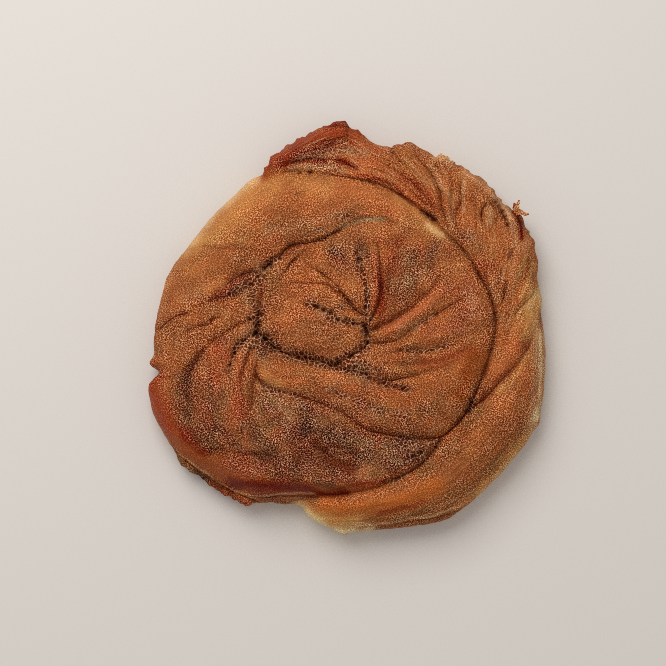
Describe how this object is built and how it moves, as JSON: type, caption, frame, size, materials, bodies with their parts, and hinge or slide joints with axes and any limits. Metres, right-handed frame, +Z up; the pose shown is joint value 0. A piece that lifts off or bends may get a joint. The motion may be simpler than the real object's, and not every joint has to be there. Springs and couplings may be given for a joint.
{
  "type": "tahini roll",
  "caption": "Round, flat bread roll: a twisted rope of layered tahini dough, coiled on itself and baked brown, with porous seams, fanned folds and a torn outer end.",
  "frame": {"origin": "middle of the flat underside, under the centre of the outline", "axes": "+Z up out of the coiled top, +Y to the torn outer end of the rope, +X to the right of it seen from above"},
  "size_m": [0.1484, 0.1546, 0.0292],
  "materials": {
    "crust": "baked crust, matt with a slight sheen on the smooth sides"
  },
  "bodies": {
    "root": {"roll": "crust"}
  },
  "joints": []
}
